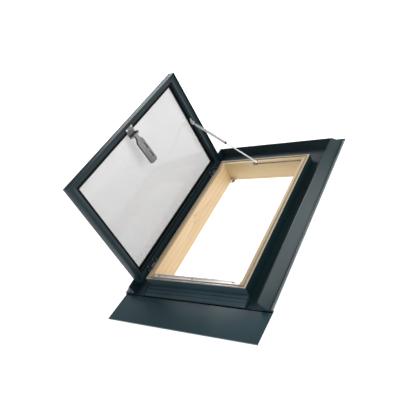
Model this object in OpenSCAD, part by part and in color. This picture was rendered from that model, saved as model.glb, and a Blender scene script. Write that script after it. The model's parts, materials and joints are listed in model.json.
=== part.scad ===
/* [Frame] */
// Outer width of the timber frame, across the slope
frame_w = 460; // [380:1:780]
// Outer length of the timber frame, along the slope
frame_l = 750; // [620:1:1180]
// Depth of the timber frame boards
frame_depth = 100; // [88:1:140]
// Thickness of the timber frame boards
board_t = 26; // [22:0.5:32]
// Distance from the outer face of a board to the seal groove
groove_inset = 7; // [5:0.5:9]
// Width of the seal groove
groove_w = 4; // [3:0.5:5]
// Depth of the seal groove
groove_d = 6; // [4:0.5:7]
// Height of the seal above the rim
seal_proud = 3; // [1:0.5:3.5]

/* [Sash] */
// Overhang of the sash beyond the timber at the two long sides
overhang_side = 20; // [18:0.5:24]
// Overhang of the sash beyond the timber at head and foot
overhang_end = 18; // [16:0.5:22]
// Width of the long sash rails
rail_side_w = 40.5; // [36:0.5:52]
// Width of the head and foot sash rails
rail_end_w = 48; // [40:0.5:60]
// Clear gap between the rim and the underside of the closed sash
sash_gap = 4; // [3.5:0.5:6]
// How far the skirt hangs below the rim when the sash is closed
skirt_drop = 6; // [4:0.5:8]
// Wall thickness of the sash profile
sash_wall = 2.2; // [1.6:0.1:3]
// Height from the underside of the rails to the glazing shelf
shelf_h = 13; // [11:0.5:18]
// Thickness of the cap that holds the pane from outside
cap_t = 1.5; // [1:0.1:3]

/* [Glazing] */
// Thickness of the laminated pane
pane_t = 6; // [4:0.2:8]
// Depth of the pane edge held over the shelf
pane_bite = 6.5; // [4:0.5:8]
// Width of the rubber lip seen around the pane
lip_w = 10; // [6:0.5:12]
// Thickness of the inner glazing gasket
gasket_t = 2; // [1:0.5:3]
// Thickness of the outer glazing tape
tape_t = 0.5; // [0.3:0.1:1.5]

/* [Hinges] */
// Distance of the hinge axis outside the timber
hinge_out = 14.7; // [13:0.1:17]
// Distance of the hinge axis below the rim
hinge_drop = 4.7; // [3:0.1:7]
// Angle to which the sash opens
open_angle = 92.8; // [91:0.1:100]
// Distance from each end of the frame to the middle of a hinge
hinge_in = 75; // [66:1:150]
// Length of each hinge along its pin
hinge_len = 60; // [48:1:80]
// Radius of the hinge pin
hinge_pin_r = 3; // [2.5:0.1:3.2]
// Outer radius of the knuckles
knuckle_r = 4.6; // [4.4:0.1:5]
// Running clearance between a pin and what turns on it
pin_clear = 0.05; // [0.02:0.01:0.1]

/* [Stay] */
// Distance from the hinge axis to the stay's pivot on the sash
stay_reach = 261; // [240:1:270]
// Distance of the stay below the rim at its sash pivot, sash closed
stay_drop = 6; // [3:0.5:9]
// Height of the stay's lower pivot above the rim
stay_rise = 9; // [6:0.5:10]
// Distance of the stay's plane inside the head board
stay_inset = 9; // [8:0.5:12]
// Place of the lower pivot along the head while the sash is open
shoe_start = -19.5; // [-30:0.5:-10]
// Outer radius of the gas cylinder
cylinder_r = 6; // [5:0.5:6.5]
// Wall thickness of the gas cylinder
cylinder_wall = 1; // [0.8:0.1:1.5]
// Radius of the piston rod
rod_r = 3; // [2.5:0.1:3.5]
// Distance from the end of the shoe to the lock stile, sash closed
shoe_end_gap = 1; // [0.5:0.5:4]
// Radius of the end eyes
eye_r = 5; // [4.5:0.1:5.5]
// Thickness of the end eyes
eye_t = 5; // [4:0.5:6]
// Radius of the sash pivot pin
stay_pin_r = 3; // [2.5:0.1:3]

/* [Handle] */
// Length of the handle lever from its pivot
lever_l = 138; // [110:1:150]
// Width of the lever
lever_w = 40; // [30:1:44]
// Thickness of the lever
lever_t = 9; // [7:0.5:10]
// Distance of the lever pivot inside the lock stile
lever_in = 7.5; // [7:0.5:14]
// Distance of the lever pivot below the rim, sash closed
lever_drop = 9; // [8:0.5:12]
// Distance from the pivot to the middle of the first slot
slot_at = 63; // [55:1:66]
// Distance between the middles of the two slots
slot_pitch = 42; // [38:1:44]
// Length of each slot
slot_l = 28; // [22:1:30]
// Width of each slot
slot_w = 9; // [8:0.5:10]
// Offset of the slots from the middle of the lever
slot_off = 8; // [0:0.5:9]
// Angle by which the lever stands off the plumb line while the sash is open
lever_swing = 8; // [0:0.5:12]

/* [Flashing] */
// Thickness of the flashing sheet
sheet_t = 1.2; // [0.8:0.1:1.5]
// Depth of the gutter floor below the rim
gutter_drop = 51; // [44:0.5:60]
// Width of the side gutters
gutter_side = 64.4; // [55:0.5:80]
// Width of the gutter behind the head
gutter_head = 112.5; // [90:0.5:140]
// Depth of the ridge below the rim
ridge_drop = 5; // [3:0.5:8]
// Width of the flat top of the ridge
ridge_w = 2.5; // [2:0.5:5]
// Width of the slope outside the ridge
slope_w = 26.5; // [20:0.5:34]
// Width of the outer flange
flange_w = 16.6; // [10:0.5:24]
// Height of the outer flange above the gutter floor
flange_rise = 4; // [2:0.5:6]
// Depth of the ribbed front from the timber to its lower edge
front_l = 47; // [40:0.5:60]
// Depth of the first rib below the rim
rib_drop = 36.5; // [32:0.5:40]
// Fall of each rib step
rib_fall = 3.4; // [2.5:0.1:4]
// Number of ribs across the front
ribs = 3; // [2:1:4]
// Length of the apron from the front's lower edge
apron_l = 131; // [100:1:170]
// Half the width of the apron
apron_half = 338; // [300:1:520]
// Rise of the apron towards its lower edge
apron_rise = 10; // [0:0.5:14]

/* [Fixings] */
// Distance from each end of the frame to a fixing hole
angle_in = 95; // [62:1:160]
// Length of the outward leg of a fixing angle
angle_leg = 40; // [30:1:50]
// Width of a fixing angle
angle_w = 50; // [40:1:60]
// Height of the upright leg of a fixing angle
angle_h = 38; // [30:1:42]
// Thickness of the fixing angles
angle_t = 2.5; // [2:0.1:3]
// Radius of the fixing holes
angle_hole_r = 4; // [3:0.1:5]
// Radius of a wood screw's shank
screw_r = 1.9; // [1.5:0.1:2.2]
// Radius of a wood screw's head
screw_head_r = 3.6; // [3:0.1:4]

/* [Hidden] */
$fn = 48;
eps = 0.01;

timber = "burlywood";
paint = "darkslategray";
steel = "silver";
rubber = "black";

half_w = frame_w / 2;
half_l = frame_l / 2;
in_w = half_w - board_t;
in_l = half_l - board_t;
rim = frame_depth;

sash_x = half_w + overhang_side;
sash_y = half_l + overhang_end;
under_z = rim + sash_gap;
shelf_z = under_z + shelf_h;
pane_z = shelf_z + gasket_t;
cap_z = pane_z + pane_t + tape_t;
sash_top = cap_z + cap_t;
pane_x = sash_x - rail_side_w + lip_w + pane_bite;
pane_y = sash_y - rail_end_w + lip_w + pane_bite;
edge_gap = 1.5;
light_x = sash_x - rail_side_w;
light_y = sash_y - rail_end_w;

box_x = light_x + lip_w;
box_y = light_y + lip_w;
ridge_groove = 2;
ridge_groove_w = 2.5;
seal_w = 6;
seal_t = 0.6;
lip_drop = 2;
lip_z = shelf_z - lip_drop;
lip_gap = 0.2;
cleat_arm = 45;
cleat_play = 0.2;

hinge_pitch = frame_l - 2 * hinge_in;
hinge_x = -half_w - hinge_out;
hinge_z = rim - hinge_drop;
knuckle_mid = hinge_len * 0.4;
knuckle_gap = 0.4;
leaf_t = 2.2;
leaf_lap_t = 1.2;
leaf_side_t = 2;
leaf_drop = 38;
leaf_x = -half_w - sheet_t;
leaf_screw_at = hinge_len * 0.33;
pin_head_t = 2;
pin_reach = hinge_len / 2 + 0.3;
hinge_notch = pin_reach + pin_head_t + 2;

stay_y = in_l - stay_inset;
shoe_back = 8;
stay_closed = [hinge_x + stay_reach, rim - stay_drop];
stay_arm = stay_closed - [hinge_x, hinge_z];
stay_open = [hinge_x, hinge_z] + turned(stay_arm, open_angle);
shoe_open = [shoe_start, rim + stay_rise];
stay_run = shoe_open - stay_open;
stay_l = norm(stay_run);
stay_tilt = atan2(-stay_run[1], stay_run[0]);
tube_start = 16;
stem_r = 2.8;
guide_t = 3.8;
piston_t = 5;
piston_clear = 0.1;
plug_t = 2;
stay_side_gap = 0.5;
pin_side_gap = 0.4;
ear_y = stay_y + eye_t / 2 + stay_side_gap;
bracket_t = 2.2;
bracket_half = 18;
bracket_ear_half = 9;
bracket_ear_r = 6;
bracket_screw_at = 13;
nose_gap = 6.3;
shoe_closed = in_w - shoe_end_gap + shoe_back;
stay_short = norm([shoe_closed, rim + stay_rise] - stay_closed);
nose_at = stay_short - eye_r - nose_gap;
rod_len = stay_short - tube_start - plug_t - 0.8;

track_h = 10;
track_d = 7;
track_wall = 1.2;
track_drop = 6;
track_slot = 5;
track_from = shoe_start - 28;
shoe_play = 0.2;
shoe_l = 18;
shoe_plate_t = 2.2;
boss_r = 4;

lever_x = in_w - lever_in;
lever_z = rim - lever_drop;
lever_tilt = open_angle - 90;
lever_pin_r = 2.5;
lever_barrel_r = 4.5;
lever_barrel_half = 17.5;
lever_ear_y = lever_barrel_half + 0.4;
lever_ear_t = 3.5;
lever_ear_r = 5;
lever_round_r = 10;
lever_neck = 9;
lever_neck_l = 18;
lever_shoulder = 34;
grip_t = 2.4;
grip_half = 23;
grip_hook_t = 0.8;
grip_screw_at = 16;

upstand_drop = 1;
gutter_z = rim - gutter_drop;
flange_z = gutter_z + flange_rise;
ridge_z = rim - ridge_drop;
upstand_z = rim - upstand_drop;
ridge_x = half_w + gutter_side;
ridge_y = half_l + gutter_head;
edge_x = ridge_x + ridge_w + slope_w + flange_w;
edge_y = ridge_y + ridge_w + slope_w + flange_w;
front_y = -half_l - front_l;
side_foot = front_y + sheet_t;
ledge_w = 4.5;
ledge_h = 5;
side_floor = [[gutter_side, gutter_z - sheet_t]];
head_floor = [
    [gutter_head - ledge_w, gutter_z - sheet_t], [gutter_head - ledge_w, gutter_z - sheet_t + ledge_h],
    [gutter_head, gutter_z - sheet_t + ledge_h]
];
hem = 3;
rib_run = front_l / ribs;
rib_lip = 4;
rib_swell = 1.4;
apron_lap = 10;
apron_hem = 5;
gusset = 24;
sheet_screw_pitch = hinge_pitch / 2 - hinge_len;
strip_t = 1.5;
strip_in = 1;
strip_lip = 4;
edge_strip_t = 1;
strip_screw_x = [-in_w * 0.85, -in_w * 0.04, in_w * 0.85];

screw_head_h = 2;
angle_pitch = frame_l - 2 * angle_in;
angle_screw_at = angle_w * 0.28;
angle_hole_out = angle_leg * 0.6;
keeper_t = 2;
keeper_half = 26;
keeper_lap = 8;
keeper_z = lever_z - slot_at;
keeper_holes = [[4, -14], [-18, -34], [8, -51]];
peg_r = 3;
peg_reach = 10.5;
pilot_depth = 10;
pilot_r = 2.6;
tab_l = 22;
tab_w = 18;
tab_t = 2;
tab_rise = 14;

function turned(v, a) = [v[0] * cos(a) - v[1] * sin(a), v[0] * sin(a) + v[1] * cos(a)];
function heading(a, b) = (b - a) / norm(b - a);
function leftward(v) = [-v[1], v[0]];
function mitre(a, b) = (a + b) / (1 + a * b);
function beside(p, i) =
    let (last = len(p) - 1,
         before = leftward(heading(p[max(i - 1, 0)], p[max(i, 1)])),
         after = leftward(heading(p[min(i, last - 1)], p[min(i + 1, last)])))
    mitre(before, after);
function strip(p, t) = concat(p, [for (i = [len(p) - 1:-1:0]) p[i] + t * beside(p, i)]);

// ---- general shapes ----

module block(low, high) {
    translate(low) cube(high - low);
}

module mirrored_x() {
    children();
    mirror([1, 0, 0]) children();
}

module mirrored_y() {
    children();
    mirror([0, 1, 0]) children();
}

// A countersunk screw whose head is flush with z = 0 and whose shank points down
module screw(length) {
    translate([0, 0, -length]) cylinder(h = length - screw_head_h, r = screw_r);
    translate([0, 0, -screw_head_h]) cylinder(h = screw_head_h, r1 = screw_r, r2 = screw_head_r);
}

// A ring of rectangular section around the middle of the frame
module ring(out_x, out_y, width, low, high) {
    difference() {
        block([-out_x, -out_y, low], [out_x, out_y, high]);
        block([-out_x + width, -out_y + width, low - 1], [out_x - width, out_y - width, high + 1]);
    }
}

module rim_groove(height) {
    ring(half_w - groove_inset, half_l - groove_inset, groove_w, rim - groove_d, height);
}

// Holds the children, drawn for the closed sash, in the open position
module opened() {
    translate([hinge_x, 0, hinge_z]) rotate([0, -open_angle, 0])
        translate([-hinge_x, 0, -hinge_z]) children();
}

// Lays the children, drawn along +X from the origin, on the stay's line
module on_stay() {
    translate([stay_open[0], stay_y, stay_open[1]]) rotate([0, stay_tilt, 0]) children();
}

module y_rod(r, from, to) {
    translate([0, from, 0]) rotate([-90, 0, 0]) cylinder(h = to - from, r = r);
}

module x_rod(r, from, to) {
    translate([from, 0, 0]) rotate([0, 90, 0]) cylinder(h = to - from, r = r);
}

// ---- timber frame ----

module head_board() {
    color(timber) difference() {
        block([-in_w, in_l, 0], [in_w, half_l, rim]);
        rim_groove(rim + 1);
        block([track_from, in_l - 1, rim - track_drop - track_h],
              [in_w + 1, in_l + track_d, rim - track_drop]);
    }
}

module foot_board() {
    color(timber) difference() {
        block([-in_w, -half_l, 0], [in_w, -in_l, rim]);
        rim_groove(rim + 1);
    }
}

module hinge_stile() {
    color(timber) difference() {
        block([-half_w, -half_l, 0], [-in_w, half_l, rim]);
        rim_groove(rim + 1);
        for (h = keeper_holes)
            translate([-in_w, h[0], rim + h[1]]) x_rod(pilot_r, -pilot_depth, 1);
    }
}

module lock_stile() {
    color(timber) difference() {
        block([in_w, -half_l, 0], [half_w, half_l, rim]);
        rim_groove(rim + 1);
    }
}

module corner_screws() {
    color(steel) mirrored_x() mirrored_y()
        for (z = [rim * 0.3, rim * 0.7])
            translate([half_w, half_l - board_t / 2, z]) rotate([0, 90, 0]) screw(60);
}

module rim_seal() {
    color("dimgray") rim_groove(rim + seal_proud);
}

module strip_screws(length) {
    for (x = strip_screw_x)
        translate([x, -half_l + board_t - 8, rim + strip_t]) screw(length);
}

module sill_strip() {
    color(steel) difference() {
        union() {
            block([-in_w + strip_in, -half_l + groove_inset + groove_w + 0.5, rim],
                  [in_w - strip_in, -in_l + strip_t, rim + strip_t]);
            block([-in_w + strip_in, -in_l, rim - strip_lip], [in_w - strip_in, -in_l + strip_t, rim + eps]);
        }
        strip_screws(20);
    }
}

module sill_edge() {
    color(steel) {
        block([-in_w + strip_in, -half_l + 0.5, rim],
              [in_w - strip_in, -half_l + groove_inset - 0.5, rim + edge_strip_t]);
    }
}

module sill_screws() {
    color("gray") strip_screws(20);
}

// ---- flashing ----

// The sheet's path outwards from the timber: upstand, gutter, ridge, slope and flange
function gutter_path(gutter, foot = []) = [
    [0, upstand_z], [0, gutter_z - sheet_t], each foot, [gutter, ridge_z - sheet_t],
    [gutter + ridge_w, ridge_z - sheet_t], [gutter + ridge_w + slope_w, flange_z - sheet_t],
    [gutter + ridge_w + slope_w + flange_w, flange_z - sheet_t],
    [gutter + ridge_w + slope_w + flange_w, flange_z + hem]
];

module side_sheet() {
    difference() {
        translate([half_w, side_foot, 0]) rotate([90, 0, 0]) mirror([0, 0, 1])
            linear_extrude(edge_y - side_foot) polygon(strip(gutter_path(gutter_side, side_floor), sheet_t));
        linear_extrude(rim) polygon([
            [half_w - 1, half_l], [ridge_x - sheet_t, half_l], [ridge_x - sheet_t, ridge_y - sheet_t],
            [edge_x + 1, edge_y + 1], [half_w - 1, edge_y + 1]
        ]);
        block([half_w - 1, side_foot - 1, 0], [half_w + sheet_t, -half_l, rim]);
    }
}

module flashing_left() {
    color(paint) mirror([1, 0, 0]) side_sheet();
}

module flashing_right() {
    color(paint) side_sheet();
}

module flashing_head() {
    color(paint) difference() {
        intersection() {
            translate([-edge_x, half_l, 0]) rotate([90, 0, 90])
                linear_extrude(2 * edge_x) polygon(strip(gutter_path(gutter_head, head_floor), sheet_t));
            linear_extrude(rim) polygon([
                [-ridge_x + sheet_t, half_l], [ridge_x - sheet_t, half_l],
                [ridge_x - sheet_t, ridge_y - sheet_t], [edge_x + 1, edge_y + 1],
                [-edge_x - 1, edge_y + 1], [-ridge_x + sheet_t, ridge_y - sheet_t]
            ]);
        }
        mirrored_x() block([half_w + sheet_t, half_l - 1, gutter_z], [edge_x, half_l + 2 * sheet_t, rim]);
    }
}

function rib_points(i) = let (y = i * rib_run, z = rim - rib_drop - i * rib_fall) [
    [y, z], [y + rib_lip, z + rib_swell], [y + rib_run - rib_lip, z], [y + rib_run, z - rib_fall - 1]
];

function front_path() = concat([[0, upstand_z]], [for (i = [0:ribs - 1]) each rib_points(i)]);

module flashing_front() {
    lap_z = gutter_z - sheet_t;
    color(paint) union() {
        mirror([0, 1, 0]) translate([-half_w - sheet_t, half_l, 0]) rotate([90, 0, 90])
            linear_extrude(2 * (half_w + sheet_t)) polygon(strip(front_path(), sheet_t));
        mirrored_x() {
            translate([0, side_foot, 0]) rotate([90, 0, 0]) linear_extrude(sheet_t) polygon([
                [half_w, lap_z], [edge_x, lap_z], [edge_x, flange_z],
                [ridge_x + ridge_w + slope_w, flange_z], [ridge_x + ridge_w, ridge_z], [ridge_x, ridge_z],
                [ridge_x, gutter_z], [half_w, gutter_z]
            ]);
            intersection() {
                block([half_w, front_y, lap_z], [half_w + sheet_t, -half_l, upstand_z]);
                mirror([0, 1, 0]) translate([-edge_x, half_l, 0]) rotate([90, 0, 90])
                    linear_extrude(2 * edge_x)
                        polygon(concat([[0, 0]], front_path(), [[front_l, 0]]));
            }
        }
    }
}

module apron() {
    top_z = gutter_z - sheet_t;
    lap = front_y + apron_lap;
    foot = front_y - apron_l;
    color(paint) translate([-apron_half, 0, 0]) rotate([90, 0, 90]) linear_extrude(2 * apron_half)
        polygon(strip([
            [foot, top_z - sheet_t + apron_rise - apron_hem], [foot, top_z - sheet_t + apron_rise],
            [front_y - 2, top_z - sheet_t], [lap, top_z - sheet_t]
        ], sheet_t));
}

module corner_gussets() {
    color(paint) mirrored_x() translate([half_w + sheet_t, half_l + sheet_t, gutter_z])
        polyhedron(
            points = [[0, 0, 0], [gusset, 0, 0], [0, gusset, 0], [0, 0, gusset]],
            faces = [[0, 1, 2], [0, 3, 1], [0, 2, 3], [1, 3, 2]]
        );
}

module flashing_screws() {
    color(paint) mirrored_x() for (y = [-sheet_screw_pitch, 0, sheet_screw_pitch])
        translate([half_w + sheet_t, y, gutter_z + 12]) rotate([0, 90, 0]) {
            translate([0, 0, -18]) cylinder(h = 18, r = screw_r);
            cylinder(h = screw_head_h, r = screw_head_r);
        }
}

// ---- fixings ----

module angle_holes() {
    mirrored_x() mirrored_y()
        translate([half_w + angle_hole_out, angle_pitch / 2, -1])
            cylinder(h = angle_t + 2, r = angle_hole_r);
}

module fixing_angles() {
    color("lightgray") difference() {
        mirrored_x() mirrored_y() translate([half_w, angle_pitch / 2 - angle_w / 2, 0]) {
            cube([angle_leg, angle_w, angle_t]);
            cube([angle_t, angle_w, angle_h]);
        }
        angle_holes();
        angle_screw_set(30);
    }
}

module angle_screw_set(length) {
    mirrored_x() mirrored_y() for (y = [-angle_screw_at, angle_screw_at])
        translate([half_w + angle_t, angle_pitch / 2 + y, angle_h * 0.62]) rotate([0, 90, 0]) screw(length);
}

module angle_screws() {
    color("gray") angle_screw_set(20);
}

module corner_tab() {
    color("lightgray") {
        block([-in_w + 4, in_l - tab_l, 0], [-in_w + 4 + tab_w, in_l, tab_t]);
        block([-in_w + 4, in_l - tab_t, 0], [-in_w + 4 + tab_w, in_l, tab_rise]);
    }
}

module keeper_screw_set(length) {
    for (h = keeper_holes)
        translate([in_w - keeper_t, h[0], rim + h[1]]) rotate([0, -90, 0]) screw(length);
}

module keeper_plate() {
    color(steel) difference() {
        block([in_w - keeper_t, -keeper_half, keeper_z - keeper_lap],
              [in_w, slot_off + keeper_lap, rim - keeper_lap]);
        keeper_screw_set(20);
    }
}

module keeper_peg() {
    color(steel) translate([0, slot_off, keeper_z]) x_rod(peg_r, lever_x - peg_reach, in_w - keeper_t);
}

module keeper_screws() {
    color("gray") keeper_screw_set(14);
}

// ---- hinges ----

module hinge_leaf_frame(y) {
    lap_x = -half_w + groove_inset - 0.5;
    color(steel) translate([0, y, 0]) difference() {
        union() {
            translate([0, hinge_len / 2, 0]) rotate([90, 0, 0]) linear_extrude(hinge_len) polygon([
                [lap_x, rim], [lap_x, rim + leaf_lap_t], [leaf_x - leaf_side_t, rim + leaf_lap_t],
                [leaf_x - leaf_side_t, rim - leaf_drop], [leaf_x, rim - leaf_drop],
                [leaf_x, upstand_z + 0.5], [-half_w, upstand_z + 0.5], [-half_w, rim]
            ]);
            block([hinge_x, -knuckle_mid / 2, hinge_z - 1.8],
                  [leaf_x, knuckle_mid / 2, hinge_z + 1.7]);
            translate([hinge_x, 0, hinge_z]) y_rod(knuckle_r, -knuckle_mid / 2, knuckle_mid / 2);
        }
        translate([hinge_x, 0, hinge_z]) y_rod(hinge_pin_r, -hinge_len, hinge_len);
        leaf_screw_pair(30);
    }
}

module leaf_screw_pair(length) {
    for (y = [-leaf_screw_at, leaf_screw_at])
        translate([leaf_x - leaf_side_t, y, rim - leaf_drop + 13]) rotate([0, -90, 0]) screw(length);
}

module hinge_leaf_frame_top() {
    hinge_leaf_frame(hinge_pitch / 2);
}

module hinge_leaf_frame_foot() {
    hinge_leaf_frame(-hinge_pitch / 2);
}

module hinge_pin(y) {
    color("gray") translate([hinge_x, y, hinge_z]) {
        y_rod(hinge_pin_r, -pin_reach, pin_reach);
        y_rod(knuckle_r - 0.3, pin_reach, pin_reach + pin_head_t);
        y_rod(knuckle_r - 0.3, -pin_reach - pin_head_t, -pin_reach);
    }
}

module hinge_pin_top() {
    hinge_pin(hinge_pitch / 2);
}

module hinge_pin_foot() {
    hinge_pin(-hinge_pitch / 2);
}

module hinge_leaf_screws() {
    color("gray") mirrored_y() translate([0, hinge_pitch / 2, 0]) leaf_screw_pair(16);
}

module sash_leaf_pair(length) {
    for (y = [-leaf_screw_at, leaf_screw_at])
        translate([-half_w - 3, y, under_z - leaf_t]) rotate([180, 0, 0]) screw(length);
}

module hinge_leaf_sash(y) {
    color(steel) opened() translate([0, y, 0]) difference() {
        union() {
            block([hinge_x - leaf_t, -hinge_len / 2, under_z - leaf_t],
                  [-half_w + 4, hinge_len / 2, under_z]);
            mirrored_y() {
                block([hinge_x - leaf_t, knuckle_mid / 2 + knuckle_gap, hinge_z],
                      [hinge_x, hinge_len / 2, under_z]);
                translate([hinge_x, 0, hinge_z])
                    y_rod(knuckle_r, knuckle_mid / 2 + knuckle_gap, hinge_len / 2);
            }
        }
        translate([hinge_x, 0, hinge_z]) y_rod(hinge_pin_r + pin_clear, -hinge_len, hinge_len);
        sash_leaf_pair(20);
    }
}

module hinge_leaf_sash_top() {
    hinge_leaf_sash(hinge_pitch / 2);
}

module hinge_leaf_sash_foot() {
    hinge_leaf_sash(-hinge_pitch / 2);
}

module sash_leaf_screws() {
    color("gray") opened() mirrored_y() translate([0, hinge_pitch / 2, 0]) sash_leaf_pair(7);
}

// ---- sash ----

// Section of a rail: n runs inwards from the outer edge, z is the height in the closed sash
function rail_outline(w) =
    let (box = w - lip_w, pane = w - lip_w - pane_bite - edge_gap, rib_z = under_z + ridge_groove,
         a = 9, b = 16)
    [
        [0, rim - skirt_drop], [sash_wall, rim - skirt_drop], [sash_wall, under_z],
        [a, under_z], [a, rib_z], [a + ridge_groove_w, rib_z], [a + ridge_groove_w, under_z],
        [b, under_z], [b, rib_z], [b + ridge_groove_w, rib_z], [b + ridge_groove_w, under_z],
        [box, under_z], [box, shelf_z], [pane, shelf_z], [pane, cap_z],
        [w - 4, cap_z], [w - 4, sash_top], [0, sash_top]
    ];

function rail_chamber(w) =
    let (inner = w - lip_w - pane_bite - edge_gap - sash_wall, floor = under_z + sash_wall + 1)
    [[sash_wall, floor], [inner, floor], [inner, cap_z - sash_wall], [sash_wall, cap_z - sash_wall]];

module rail_section(w) {
    difference() {
        polygon(rail_outline(w));
        polygon(rail_chamber(w));
    }
}

module side_rail() {
    intersection() {
        translate([sash_x, sash_y, 0]) rotate([90, 0, 0]) mirror([1, 0, 0])
            linear_extrude(2 * sash_y) rail_section(rail_side_w);
        linear_extrude(sash_top + 1) polygon([
            [sash_x, sash_y], [box_x, box_y], [light_x, light_y],
            [light_x, -light_y], [box_x, -box_y], [sash_x, -sash_y]
        ]);
    }
}

module end_rail() {
    intersection() {
        translate([-sash_x, sash_y, 0]) rotate([90, 0, 90]) mirror([1, 0, 0])
            linear_extrude(2 * sash_x) rail_section(rail_end_w);
        linear_extrude(sash_top + 1) polygon([
            [sash_x, sash_y], [box_x, box_y], [light_x, light_y],
            [-light_x, light_y], [-box_x, box_y], [-sash_x, sash_y]
        ]);
    }
}

module sash_rail_hinge() {
    color(paint) opened() difference() {
        mirror([1, 0, 0]) side_rail();
        mirrored_y() block([-sash_x - 1, hinge_pitch / 2 - hinge_notch, rim - skirt_drop - 1],
                           [-sash_x + sash_wall, hinge_pitch / 2 + hinge_notch, under_z]);
    }
}

module sash_rail_lock() {
    color(paint) opened() side_rail();
}

module sash_rail_head() {
    color(paint) opened() end_rail();
}

module sash_rail_foot() {
    color(paint) opened() mirror([0, 1, 0]) end_rail();
}

module corner_cleats() {
    near = sash_wall + cleat_play;
    wide = min(rail_side_w, rail_end_w) - lip_w - pane_bite - edge_gap - 2 * near;
    low = under_z + sash_wall + 1 + cleat_play;
    high = cap_z - near;
    color(steel) opened() mirrored_x() mirrored_y() {
        block([sash_x - near - wide, sash_y - cleat_arm, low], [sash_x - near, sash_y - near, high]);
        block([sash_x - cleat_arm, sash_y - near - wide, low], [sash_x - near, sash_y - near, high]);
    }
}

module glass_pane() {
    color("whitesmoke", 0.5) opened() block([-pane_x, -pane_y, pane_z], [pane_x, pane_y, pane_z + pane_t]);
}

module glazing_gasket() {
    color(rubber) opened() {
        ring(pane_x, pane_y, lip_w + pane_bite, shelf_z, pane_z);
        ring(box_x, box_y, lip_w, lip_z, shelf_z + eps);
    }
}

module glazing_tape() {
    color(rubber) opened() ring(pane_x, pane_y, pane_bite + lip_w - 5, pane_z + pane_t, cap_z);
}

// Flat rubber around the inner edge of the rails, which meets the seal of the frame
module sash_seal() {
    color(rubber) opened() difference() {
        ring(box_x + seal_w, box_y + seal_w, seal_w, under_z - seal_t, under_z);
        block([box_x - 1, -grip_half - 1, under_z - 1], [box_x + seal_w + 1, grip_half + 1, under_z + 1]);
    }
}

// ---- stay ----

module stay_bracket() {
    x = stay_closed[0];
    color(steel) opened() difference() {
        union() {
            block([x - bracket_half, box_y - bracket_t, under_z],
                  [x + bracket_half, box_y, lip_z - lip_gap]);
            block([x - bracket_ear_half, ear_y, under_z],
                  [x + bracket_ear_half, box_y, under_z + bracket_t]);
            block([x - bracket_ear_half, ear_y, stay_closed[1] - 1],
                  [x + bracket_ear_half, ear_y + bracket_t, under_z + bracket_t]);
            translate([x, 0, stay_closed[1]]) y_rod(bracket_ear_r, ear_y, ear_y + bracket_t);
        }
        translate([x, 0, stay_closed[1]]) y_rod(stay_pin_r, ear_y - 1, ear_y + bracket_t + 1);
        bracket_screw_pair(20);
    }
}

module bracket_screw_pair(length) {
    for (x = [-bracket_screw_at, bracket_screw_at])
        translate([stay_closed[0] + x, box_y - bracket_t, (under_z + lip_z) / 2])
            rotate([90, 0, 0]) screw(length);
}

module bracket_screws() {
    color("gray") opened() bracket_screw_pair(7);
}

module stay_pin() {
    head_y = stay_y - eye_t / 2 - stay_side_gap;
    color("gray") opened() translate([stay_closed[0], 0, stay_closed[1]]) {
        y_rod(stay_pin_r, head_y, ear_y + bracket_t);
        y_rod(eye_r, head_y - pin_head_t, head_y);
    }
}

module stay_cylinder() {
    color(steel) on_stay() difference() {
        union() {
            y_rod(eye_r + 0.5, -eye_t / 2, eye_t / 2);
            x_rod(stem_r, eye_r - 0.5, tube_start + 1);
            x_rod(cylinder_r, tube_start, nose_at);
        }
        y_rod(stay_pin_r + pin_clear, -eye_t, eye_t);
        x_rod(cylinder_r - cylinder_wall, tube_start + plug_t, nose_at + 1);
    }
}

module stay_guide() {
    color(rubber) on_stay() difference() {
        x_rod(cylinder_r - cylinder_wall, nose_at - guide_t, nose_at);
        x_rod(rod_r + pin_clear, nose_at - guide_t - 1, nose_at + 1);
    }
}

module stay_rod() {
    color("gainsboro") on_stay() {
        x_rod(cylinder_r - cylinder_wall - piston_clear, stay_l - rod_len, stay_l - rod_len + piston_t);
        x_rod(rod_r, stay_l - rod_len + piston_t - 1, stay_l - 1);
        translate([stay_l, 0, 0]) y_rod(eye_r, -eye_t / 2, eye_t / 2);
    }
}

module stay_track() {
    slot_low = (track_h - track_slot) / 2;
    color("lightgray") difference() {
        translate([track_from, in_l, rim - track_drop - track_h]) rotate([90, 0, 90])
            linear_extrude(in_w - track_from) polygon([
                [0, 0], [track_d, 0], [track_d, track_h], [0, track_h], [0, track_h - slot_low],
                [track_wall, track_h - slot_low], [track_wall, track_h - track_wall],
                [track_d - track_wall, track_h - track_wall], [track_d - track_wall, track_wall],
                [track_wall, track_wall], [track_wall, slot_low], [0, slot_low]
            ]);
        track_screw_set(20);
    }
}

module track_screw_set(length) {
    for (x = [track_from + 3, in_w * 0.35, in_w - 1.5 * screw_head_r])
        translate([x, in_l + track_d - track_wall, rim - track_drop - track_h / 2])
            rotate([90, 0, 0]) translate([0, 0, -length]) cylinder(h = length, r = screw_r);
}

module track_screws() {
    color("gray") track_screw_set(12);
}

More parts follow.
